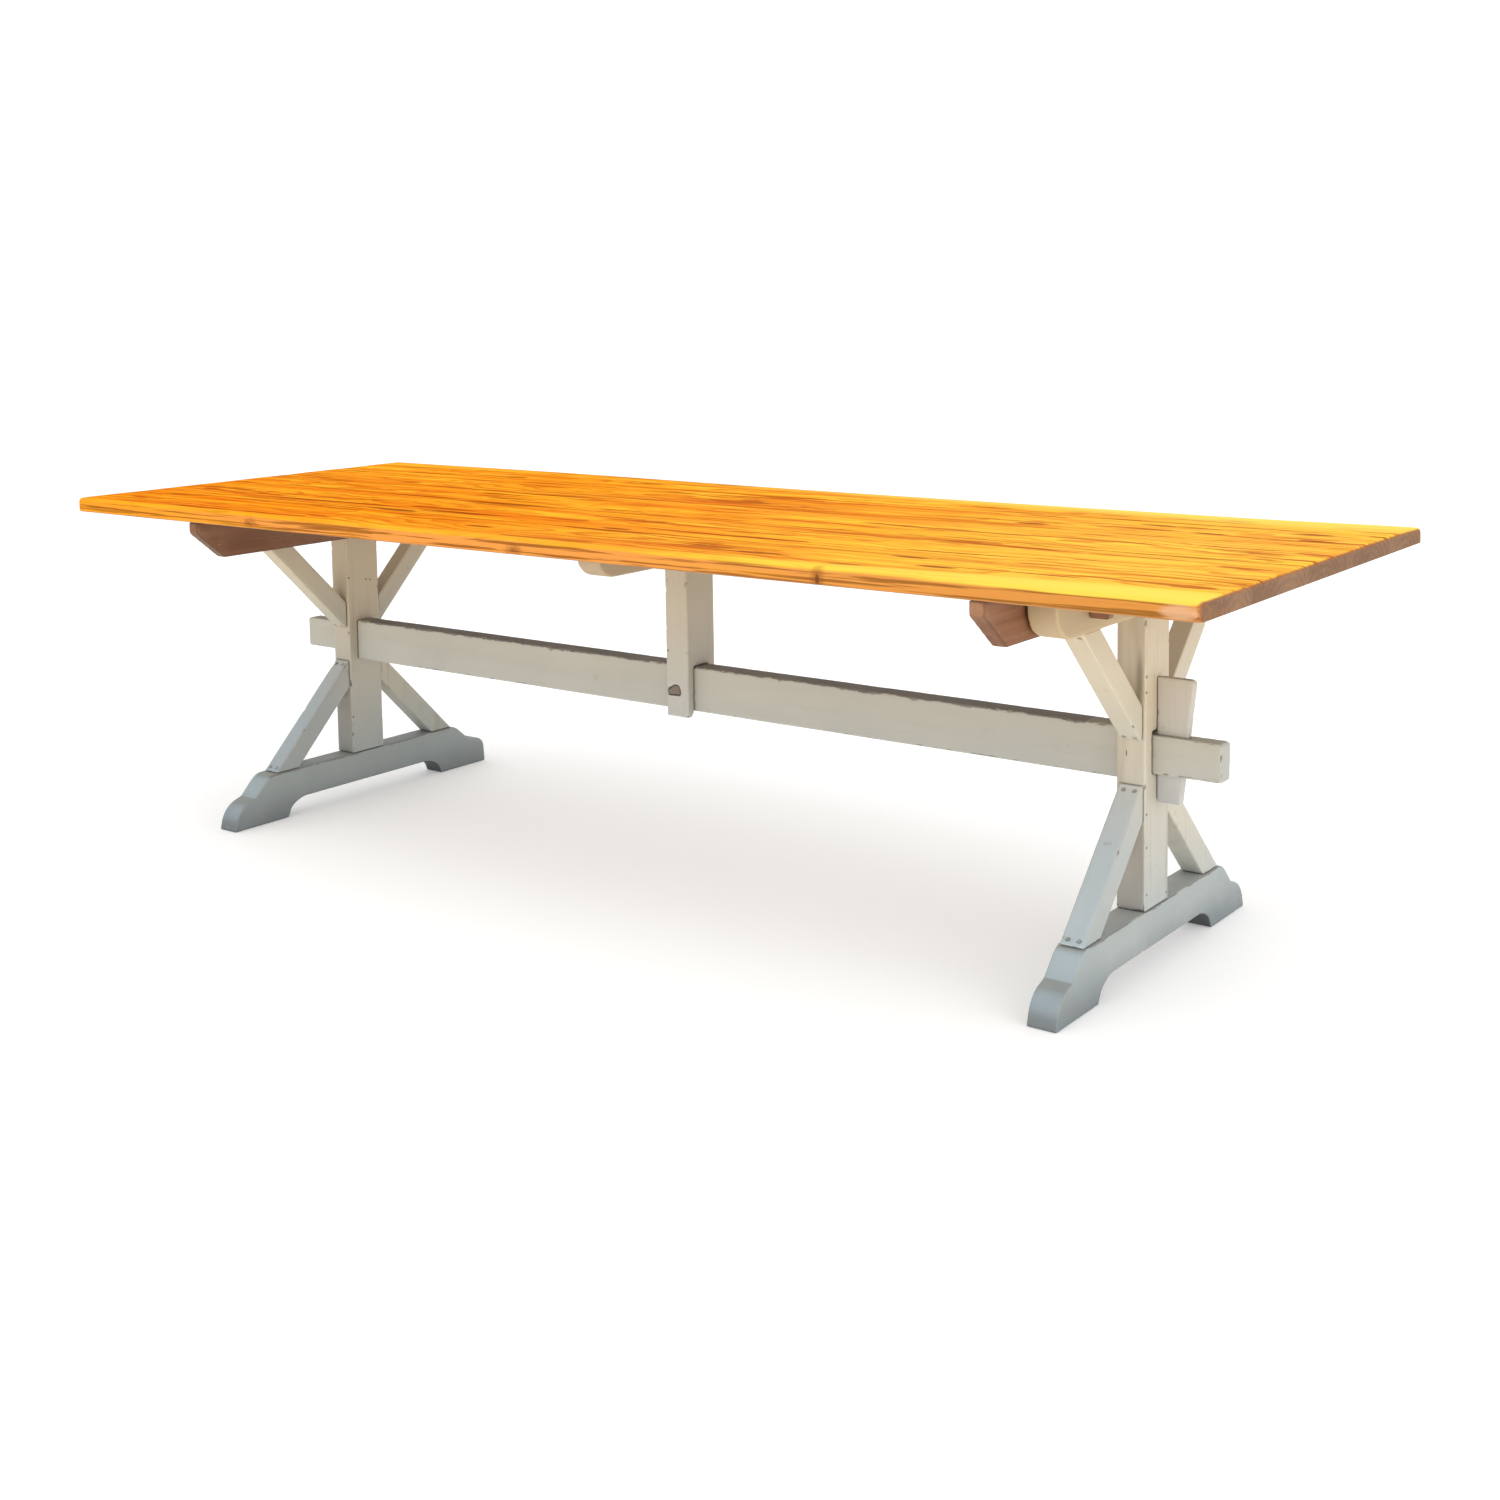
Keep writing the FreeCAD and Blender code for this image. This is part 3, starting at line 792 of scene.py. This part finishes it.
def solidTree(nodeName):
    shape = bmesh.new()
    shape.from_mesh(nodes[nodeName].data)
    tree = BVHTree.FromBMesh(shape)
    shape.free()
    return tree


solids = {name: solidTree(name) for name in nodes if "nails" not in name}


def seamField(nodeName, points):
    # One where another piece touches this one, falling to nought at seamReach.
    reach = wornLook["seamReach"]
    low, high = boxOf(nodeName)
    field = np.zeros(len(points))
    for other, tree in solids.items():
        otherLow, otherHigh = boxOf(other)
        if other == nodeName or (otherLow > high + reach).any() or (otherHigh < low - reach).any():
            continue
        inside = ((points > otherLow - reach) & (points < otherHigh + reach)).all(1)
        for index in np.flatnonzero(inside):
            away = tree.find_nearest(points[index], reach)[3]
            if away is not None:
                field[index] = max(field[index], 1.0 - away / reach)
    return field


def keepLargest(shape):
    # Drops the small closed bubbles left inside nail holes.
    groups = sorted(looseParts(shape), key=len)
    small = [vert for group in groups[:-1] for vert in group]
    bmesh.ops.delete(shape, geom=small, context="VERTS")


def remeshed(mesh, voxel):
    holder = bpy.data.objects.new("holder", mesh)
    scene.collection.objects.link(holder)
    modifier = holder.modifiers.new("remesh", "REMESH")
    modifier.mode = "VOXEL"
    modifier.voxel_size = voxel
    evaluated = holder.evaluated_get(bpy.context.evaluated_depsgraph_get())
    result = bpy.data.meshes.new_from_object(evaluated)
    bpy.data.objects.remove(holder)
    shape = bmesh.new()
    shape.from_mesh(result)
    keepLargest(shape)
    shape.to_mesh(result)
    shape.free()
    return result


def smoothed(points, edges, rounds):
    count = len(points)
    links = np.bincount(edges.ravel(), minlength=count).astype(float)[:, None]
    result = points.copy()
    for _ in range(rounds):
        total = np.empty_like(result)
        for axis in range(3):
            values = result[:, axis]
            total[:, axis] = np.bincount(edges[:, 0], values[edges[:, 1]], count)
            total[:, axis] += np.bincount(edges[:, 1], values[edges[:, 0]], count)
        result = 0.5 * result + 0.5 * total / links
    return result


def drawnBack(points, edges, tree):
    # Lays a remeshed skin back on the solid that it was made from.
    gap = np.array([tree.find_nearest(point)[0] for point in points]) - points
    return points + smoothed(gap, edges, 1)


def evenSkin(nodeName, voxel):
    # A skin of even faces on the solid, and its edges as pairs of points.
    mesh = remeshed(mergedCopy(nodeName), voxel)
    edges = np.empty(len(mesh.edges) * 2, np.int32)
    mesh.edges.foreach_get("vertices", edges)
    edges = edges.reshape(-1, 2)
    points = smoothed(readVectors(mesh, "co"), edges, 2)
    for _ in range(2):
        points = drawnBack(points, edges, solids[nodeName])
    writePoints(mesh, points)
    return mesh, points, edges


def bulgeField(points, edges, normals, voxel):
    # About one on a square arris, nought on a face and minus one in a corner.
    look = wornLook
    rounds = max(4, int((look["edgeReach"] / voxel) ** 2))
    bulge = np.einsum("ij,ij->i", points - smoothed(points, edges, rounds), normals)
    bulge = smoothed(np.stack([bulge] * 3, 1), edges, 1)[:, 0]
    return bulge / (voxel * look["squareBulge"] * math.sqrt(rounds / 10.0))


def tintField(points, normals, part, low, high):
    # The piece's own tint, times a painted-light gain that changes from low to high up the table, and
    # painted shade on faces along the table by its side factor.
    look = wornLook
    climb = np.clip((points[:, 2] - look["tintLow"]) / (look["tintHigh"] - look["tintLow"]), 0.0, 1.0)
    gain = (low + (high - low) * climb) * (1.0 + (part.get("side", 1.0) - 1.0) * normals[:, 0] ** 2)
    return gain[:, None] * np.array(part.get("tint", (1.0, 1.0, 1.0)))


def ragField(points, part):
    # One at the top of a piece whose upper arris is torn, falling to nought at its rag depth.
    if "rag" not in part:
        return np.zeros(len(points))
    depth = np.clip(1.0 - (points[:, 2].max() - points[:, 2]) / part["rag"], 0.0, 1.0)
    return depth * (np.abs(points[:, 0]) < part["ragEnd"])


def wornPiece(nodeName, material, part, low=1.0, high=1.0):
    look = wornLook
    voxel = part["voxel"] * 1.0
    mesh, points, edges = evenSkin(nodeName, voxel)
    normals = readVectors(mesh, "normal")
    bulge = bulgeField(points, edges, normals, voxel)
    wear = np.clip(bulge, 0.0, 1.0)

    seed = random.uniform(0.0, 40.0)
    knocks = noiseField(points, look["chipScale"], seed)
    coarse = noiseField(points, look["waverScale"], seed + 9.0)
    chips = part.get("chips", 0.0)
    chip = np.clip((knocks + coarse * 0.6 + chips - look["chipFrom"]) / look["chipSpan"], 0.0, 1.0)
    chip *= np.clip(wear * look["chipReach"], 0.0, 1.0)
    loss = wear ** look["roundingPower"] * look["rounding"] + chip * wear * look["chipDepth"]
    loss += look["waver"] * (coarse + 0.5)
    seam = seamField(nodeName, points)
    points = np.clip(points - normals * loss[:, None], *boxOf(nodeName))
    writePoints(mesh, points)
    mesh.shade_smooth()

    offset = [random.uniform(-3.0, 3.0) for _ in range(3)]
    saveField(mesh, "grain", grainSpace(points, part["grain"], offset))
    saveField(mesh, "wear", wear)
    saveField(mesh, "chip", chip)
    saveField(mesh, "crease", np.clip(-bulge, 0.0, 1.0))
    saveField(mesh, "seam", seam)
    saveField(mesh, "warm", np.full(len(points), part.get("warm", 0.0)))
    saveField(mesh, "tint", tintField(points, normals, part, low, high))
    saveField(mesh, "rag", ragField(points, part))
    newPiece("worn_" + nodeName, mesh, material, bodyOf(nodeName), [nodeName])


# Each part below has its grain direction and voxel size, and may have a share of chipped edge, the
# warmth of its paint (a shift along the height tones, painted light included) and its tint (painted shade on
# the bolsters), a painted-shade gain for the faces along the table, and the depth and the furthest reach of
# a torn top arris.

trestleParts = {
    "post": {"grain": (0, 0, 1), "voxel": 0.0024, "chips": 0.05, "warm": 0.10},
    "foot": {
        "grain": (0, 1, 0), "voxel": 0.0022, "chips": 0.08, "tint": (0.97, 0.97, 0.97),
        "rag": 0.009, "ragEnd": 2.0,
    },
    # the bolster's tint is painted shade from the table top above it
    "bolster": {"grain": (0, 1, 0), "voxel": 0.0028, "tint": (0.88, 0.77, 0.61)},
    "front_upper_brace": {"grain": (0, -1, 1), "voxel": 0.0018, "tint": (1.02, 1.02, 1.0)},
    "rear_upper_brace": {"grain": (0, 1, 1), "voxel": 0.0018},
    "front_lower_brace": {"grain": (0, -1, -1), "voxel": 0.0018, "chips": 0.04, "tint": (1.02, 1.00, 1.00)},
    "rear_lower_brace": {"grain": (0, 1, -1), "voxel": 0.0018, "warm": 0.12, "tint": (1.06, 1.05, 1.02)},
    "wedge": {"grain": (0, 0, 1), "voxel": 0.0014, "chips": 0.10, "tint": (1.02, 1.03, 1.11)},
}
# painted light: the left trestle darker, most near the floor, both lighter higher up
trestleLightGains = {"left": (0.78, 0.95), "right": (0.98, 1.05)}    # low down, high up


def makeTrestles():
    for side, (low, high) in trestleLightGains.items():
        for ending, part in trestleParts.items():
            wornPiece(side + "_" + ending, finishes["paint"], part, low, high)
        print(side, "trestle ready")


middleParts = {
    "stretcher": {
        "grain": (1, 0, 0), "voxel": 0.0030, "chips": 0.32, "tint": (0.95, 0.96, 0.97),
        "rag": 0.012, "ragEnd": 0.97,
    },
    # the side factor paints shade on the centre post's faces along the table
    "centre_post": {
        "grain": (0, 0, 1), "voxel": 0.0024, "chips": 0.05, "tint": (1.00, 1.01, 1.04), "side": 0.92,
    },
    # the centre bolster's tint is painted shade from the table top above it
    "centre_bolster": {"grain": (0, 1, 0), "voxel": 0.0028, "tint": (0.88, 0.79, 0.70)},
}
pegPart = {"grain": (0, 1, 0), "voxel": 0.0010}


def makeMiddle():
    for nodeName, part in middleParts.items():
        wornPiece(nodeName, finishes["paint"], part)
    wornPiece("centre_peg", finishes["endGrain"], pegPart)
    print("stretcher and centre post ready")


underParts = {
    "_cleat": {"grain": (0, 1, 0), "voxel": 0.0030},
    "_front_keeper": {"grain": (1, 0, 0), "voxel": 0.0016},
    "_rear_keeper": {"grain": (1, 0, 0), "voxel": 0.0016},
}
# painted light: the right cleat lighter, as if lit from the right end
stainLightGains = {"left": 0.98, "right": 1.34}


def makeUnderTop():
    for side, gain in stainLightGains.items():
        for ending, part in underParts.items():
            wornPiece(side + ending, finishes["stain"], part, gain, gain)
    print("cleats and keepers ready")


makeTrestles()
makeMiddle()
makeUnderTop()


boardLook = {
    "endRound": 0.009,
    "rimRound": 0.009,
    "underRound": 0.0030,     # the arrises underneath are sharper
    "seamRound": 0.0022,
    "cornerRound": 0.018,
    "roundSteps": 6,
    "topSteps": 14,
    "endSteps": (0.0115, 0.0145, 0.018, 0.028),   # sections past the rounded end
    "middleFrom": 0.04,       # from here on the sections stand evenly
    "stationGap": 0.022,
    "cup": 0.0005,
    "waver": 0.0004,
    "droop": 0.0060,          # the rear edge has warped down this much in the middle
    "droopRise": (-0.9, 0.2),
    "droopEase": (1.05, 1.4),
    "knockDepth": 0.0022,     # dents along the front rim
    "seamRub": 0.35,          # how rubbed a seam looks, and the rounded ends
    "endRub": 0.7,
    "endRubReach": 0.008,
    "goldAndHighlight": (0.60, 0.60, 0.80, 0.58, 0.70),   # how yellow each board is under the painted sunlight, front first
}


def boardSection(low, high, frontRound, rearRound):
    # Closed loop of (y, z, wear), clockwise seen from +X, front-bottom corner first.
    look = boardLook
    frontY, bottom, rearY, top = low[1], low[2], high[1], high[2]
    frontUnder = min(frontRound, look["underRound"])
    rearUnder = min(rearRound, look["underRound"])
    corners = [
        (frontY + frontUnder, bottom + frontUnder, frontUnder, -90.0),
        (frontY + frontRound, top - frontRound, frontRound, 180.0),
        (rearY - rearRound, top - rearRound, rearRound, 90.0),
        (rearY - rearUnder, bottom + rearUnder, rearUnder, 0.0),
    ]
    loop = []
    for number, (middleY, middleZ, radius, startAngle) in enumerate(corners):
        rubbed = 1.0 if radius > look["seamRound"] else look["seamRub"]
        for share in np.linspace(0.0, 1.0, look["roundSteps"] + 1):
            turn = math.radians(startAngle - 90.0 * share)
            wear = math.sin(math.pi * share) * rubbed
            loop.append((middleY + math.cos(turn) * radius, middleZ + math.sin(turn) * radius, wear))
        if number == 1:
            for share in np.linspace(0.0, 1.0, look["topSteps"] + 1)[1:-1]:
                across = frontY + frontRound + share * (rearY - rearRound - frontY - frontRound)
                loop.append((across, top, 0.0))
    return np.array(loop)


def boardStations(length):
    # Places of the sections along a board, closer together where the ends are round.
    look = boardLook
    bend = look["endRound"] * (1.0 - np.cos(np.linspace(0.0, math.pi / 2, look["roundSteps"])))
    near = np.concatenate([bend, look["endSteps"]])
    middle = np.linspace(look["middleFrom"], length - look["middleFrom"], int(length / look["stationGap"]))
    return np.concatenate([near, middle, length - near[::-1]])


def easedStep(value, low, high):
    share = min(max((value - low) / (high - low), 0.0), 1.0)
    return share * share * (3.0 - 2.0 * share)


def endInset(distance, radius):
    # How far a quarter-round end draws the section in at this distance.
    if distance >= radius:
        return 0.0
    return radius - math.sqrt(radius ** 2 - (radius - distance) ** 2)


def boardPoints(low, high, loop, first, last, seed):
    # Points of every section in turn, and how rubbed each one is.
    look = boardLook
    length, width = high[0] - low[0], high[1] - low[1]
    middleZ = (low[2] + high[2]) / 2
    points, wear = [], []
    for reach in boardStations(length):
        x = low[0] + reach
        inset = min(reach, length - reach)
        dropTop = endInset(inset, look["endRound"])
        dropUnder = endInset(inset, look["underRound"])
        corner = endInset(inset, look["cornerRound"])
        front = corner if first else 0.0
        rear = corner if last else 0.0
        eased = 1.0 - 0.5 * easedStep(x, *look["droopEase"])
        droop = look["droop"] * easedStep(x, *look["droopRise"]) * eased
        endRub = look["endRub"] if 0.0 < inset < look["endRubReach"] else 0.0
        for y, z, rub in loop:
            shareY = (y - low[1]) / width
            yy = low[1] + front + shareY * (width - front - rear)
            drop = dropTop if z > middleZ else dropUnder
            zz = middleZ + (z - middleZ) * (1.0 - drop / (high[2] - middleZ))
            if last and z > middleZ:
                zz -= droop * shareY ** 1.5
            if z > high[2] - 0.002:
                hollow = look["cup"] * (2.0 * shareY - 1.0) ** 2
                zz -= hollow + look["waver"] * (0.5 + 0.5 * noise.noise((x * 2.0, y * 7.0, seed)))
            if first and rub > 0.3 and y < low[1] + 0.01:
                knock = 0.5 + 0.5 * noise.noise((x * 11.0, y * 30.0 + seed, seed))
                yy += look["knockDepth"] * knock * rub
            points.append((x, yy, zz))
            wear.append(max(rub, endRub))
    return points, wear


def boardMesh(nodeName, points, size):
    # Skin over sections of so many points each, closed at both ends.
    count = len(points) // size
    faces = []
    for section in range(count - 1):
        for place in range(size):
            a = section * size + place
            b = section * size + (place + 1) % size
            faces.append((a, a + size, b + size, b))
    faces.append(tuple(range(size)))
    faces.append(tuple(range((count - 1) * size, count * size))[::-1])
    mesh = bpy.data.meshes.new(nodeName + "Mesh")
    mesh.from_pydata(points, [], faces)
    mesh.update()
    shape = bmesh.new()
    shape.from_mesh(mesh)
    bmesh.ops.recalc_face_normals(shape, faces=shape.faces)
    for face in shape.faces:
        face.smooth = len(face.verts) == 4
    shape.to_mesh(mesh)
    shape.free()
    return mesh


def makeBoard(number, count):
    look = boardLook
    nodeName = "top_plank_" + str(number + 1)
    low, high = boxOf(nodeName)
    first, last = number == 0, number == count - 1
    frontRound = look["rimRound"] if first else look["seamRound"]
    rearRound = look["rimRound"] if last else look["seamRound"]
    loop = boardSection(low, high, frontRound, rearRound)
    points, wear = boardPoints(low, high, loop, first, last, number * 5.3 + 1.7)
    mesh = boardMesh(nodeName, points, len(loop))
    along = random.uniform(-6, 6)
    aside = random.uniform(-0.05, 0.05) - (low[1] + high[1]) / 2
    deep = random.uniform(-0.02, 0.03) - low[2]
    saveField(mesh, "grain", np.array(points) + np.array((along, aside, deep)))
    saveField(mesh, "wear", np.array(wear))
    saveField(mesh, "board", np.full(len(points), look["goldAndHighlight"][number]))
    newPiece("board_" + str(number + 1), mesh, finishes["pine"], "top", [nodeName])


def makeTop():
    count = len(boardLook["goldAndHighlight"])
    for number in range(count):
        makeBoard(number, count)
    print("boards ready")


makeTop()


nailLook = {
    "headLong": 0.0058,
    "headWide": 0.0044,
    "headDeep": 0.0022,
    "proud": 0.0003,
    "unevenness": 0.0006,
    "seed": 11,
    "spin": 0.35,             # heads are turned by up to this many radians
    "endSlice": 0.0005,       # a nail's end is whatever lies this near to its tip
}


def headPlaces(nodeName):
    # Head centre and outward direction of every nail in a group.
    tip = nailLook["endSlice"]
    shape = bmesh.new()
    shape.from_mesh(mergedCopy(nodeName))
    places = []
    for group in looseParts(shape):
        spots = np.array([vert.co for vert in group])
        middle = spots.mean(0)
        axis = np.linalg.svd(spots - middle)[2][0]
        reach = (spots - middle) @ axis
        ends = [spots[reach < reach.min() + tip], spots[reach > reach.max() - tip]]
        head = max(ends, key=lambda end: np.ptp(end, axis=0).sum())
        centre = head.mean(0)
        outward = centre - middle
        places.append((centre, outward / np.linalg.norm(outward)))
    shape.free()
    return places


def nailTree(material):
    look = nailLook
    tree = bpy.data.node_groups.new("cutNailHeads", "GeometryNodeTree")
    tree.interface.new_socket("Geometry", in_out="OUTPUT", socket_type="NodeSocketGeometry")
    tree.interface.new_socket("Geometry", in_out="INPUT", socket_type="NodeSocketGeometry")
    for name in ("headLong", "headWide", "headDeep", "proud", "unevenness"):
        tree.interface.new_socket(name, in_out="INPUT", socket_type="NodeSocketFloat")
    tree.interface.new_socket("seed", in_out="INPUT", socket_type="NodeSocketInt")

    def add(kind, settings, inputs, output=0):
        node = tree.nodes.new(kind)
        for name, value in settings.items():
            setattr(node, name, value)
        for name, value in inputs.items():
            if hasattr(value, "is_output"):
                tree.links.new(value, node.inputs[name])
            else:
                node.inputs[name].default_value = value
        return node.outputs[output] if node.outputs else None

    # an uneven block for the head
    source = tree.nodes.new("NodeGroupInput").outputs
    size = add("ShaderNodeCombineXYZ", {}, {
        "X": source["headLong"], "Y": source["headWide"], "Z": source["headDeep"],
    })
    block = add("GeometryNodeMeshCube", {}, {
        "Size": size, "Vertices X": 5, "Vertices Y": 4, "Vertices Z": 3,
    })
    rough = add("ShaderNodeTexNoise", {}, {"Scale": 420.0, "Detail": 1.0}, output=1)
    centred = add("ShaderNodeVectorMath", {"operation": "SUBTRACT"}, {0: rough, 1: (0.5, 0.5, 0.5)})
    scaled = add("ShaderNodeVectorMath", {"operation": "SCALE"}, {0: centred, "Scale": source["unevenness"]})
    uneven = add("GeometryNodeSetPosition", {}, {"Geometry": block, "Offset": scaled})

    # one on every nail, square to its face and a little turned
    aim = add("GeometryNodeInputNamedAttribute", {"data_type": "FLOAT_VECTOR"}, {"Name": "aim"})
    align = add("FunctionNodeAlignRotationToVector", {"axis": "Z"}, {"Vector": aim})
    spin = add("FunctionNodeRandomValue", {"data_type": "FLOAT"}, {
        2: -look["spin"], 3: look["spin"], "Seed": source["seed"],
    }, output=1)
    twist = add("FunctionNodeAxisAngleToRotation", {}, {"Axis": (0.0, 0.0, 1.0), "Angle": spin})
    turn = add("FunctionNodeRotateRotation", {"rotation_space": "LOCAL"}, {
        "Rotation": align, "Rotate By": twist,
    })
    heads = add("GeometryNodeInstanceOnPoints", {}, {
        "Points": source["Geometry"], "Instance": uneven, "Rotation": turn,
    })

    # sunk until it stands only a little proud
    half = add("ShaderNodeMath", {"operation": "MULTIPLY"}, {0: source["headDeep"], 1: -0.5})
    sink = add("ShaderNodeMath", {"operation": "ADD"}, {0: half, 1: source["proud"]})
    shift = add("ShaderNodeCombineXYZ", {}, {"Z": sink})
    seated = add("GeometryNodeTranslateInstances", {}, {"Instances": heads, "Translation": shift})
    real = add("GeometryNodeRealizeInstances", {}, {"Geometry": seated})
    coated = add("GeometryNodeSetMaterial", {}, {"Geometry": real, "Material": material})
    add("NodeGroupOutput", {}, {"Geometry": coated})
    return tree


def makeNails(nodeName, tree):
    look = nailLook
    name = "heads_" + nodeName
    places = headPlaces(nodeName)
    mesh = bpy.data.meshes.new(name + "Points")
    mesh.from_pydata([tuple(centre) for centre, _ in places], [], [])
    saveField(mesh, "aim", np.array([outward for _, outward in places]))
    holder = bpy.data.objects.new(name + "Holder", mesh)
    scene.collection.objects.link(holder)
    modifier = holder.modifiers.new("heads", "NODES")
    modifier.node_group = tree
    for item in tree.interface.items_tree:
        if item.in_out == "INPUT" and item.name in look:
            modifier[item.identifier] = look[item.name]
    evaluated = holder.evaluated_get(bpy.context.evaluated_depsgraph_get())
    result = bpy.data.meshes.new_from_object(evaluated)
    bpy.data.objects.remove(holder)
    newPiece(name, result, finishes["iron"], bodyOf(nodeName), [nodeName])


def makeAllNails():
    tree = nailTree(finishes["iron"])
    for nodeName in ("left_brace_nails", "right_brace_nails", "cleat_nails", "keeper_nails"):
        makeNails(nodeName, tree)
    print("nails ready")


makeAllNails()
